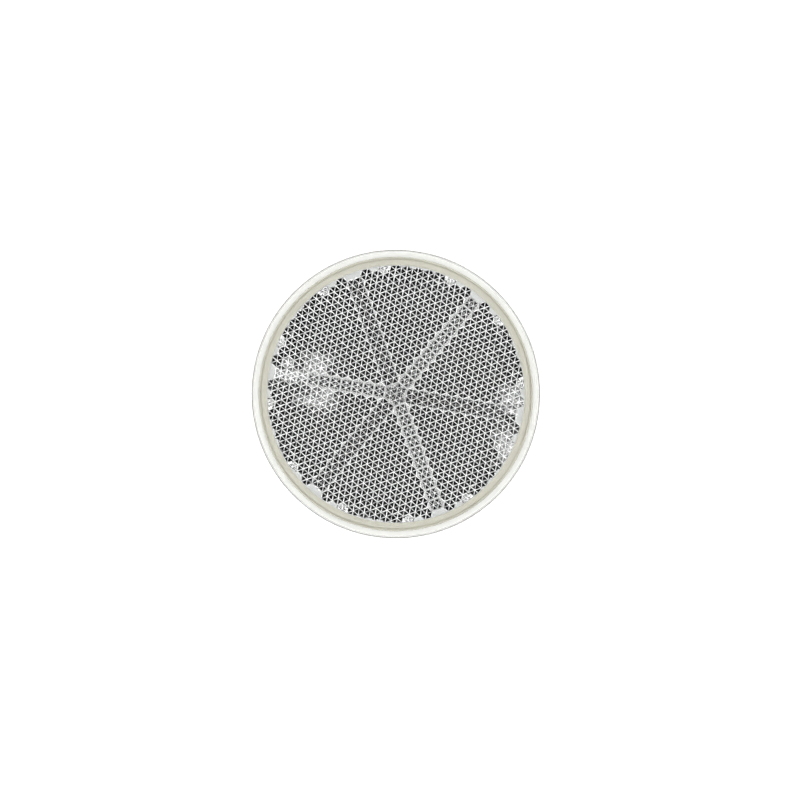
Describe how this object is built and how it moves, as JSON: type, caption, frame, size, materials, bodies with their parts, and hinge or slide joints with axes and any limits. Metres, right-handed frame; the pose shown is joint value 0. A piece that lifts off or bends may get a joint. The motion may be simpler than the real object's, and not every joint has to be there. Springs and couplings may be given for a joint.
{
  "type": "round reflector",
  "caption": "Round clear prismatic reflector with a cream back plate and a self-adhesive foam pad.",
  "frame": {"origin": "middle of the foam pad's back face, where the reflector is stuck on", "axes": "+Z out of the front of the lens, +X to the picture's right and +Y to its top"},
  "size_m": [0.06, 0.06, 0.0068],
  "materials": {
    "clear_acrylic": "moulded clear, polished front",
    "cream_abs": "moulded, satin",
    "grey_foam": "closed-cell foam, matt"
  },
  "bodies": {
    "root": {"lens": "clear_acrylic", "back_plate": "cream_abs", "foam_pad": "grey_foam"}
  },
  "joints": []
}
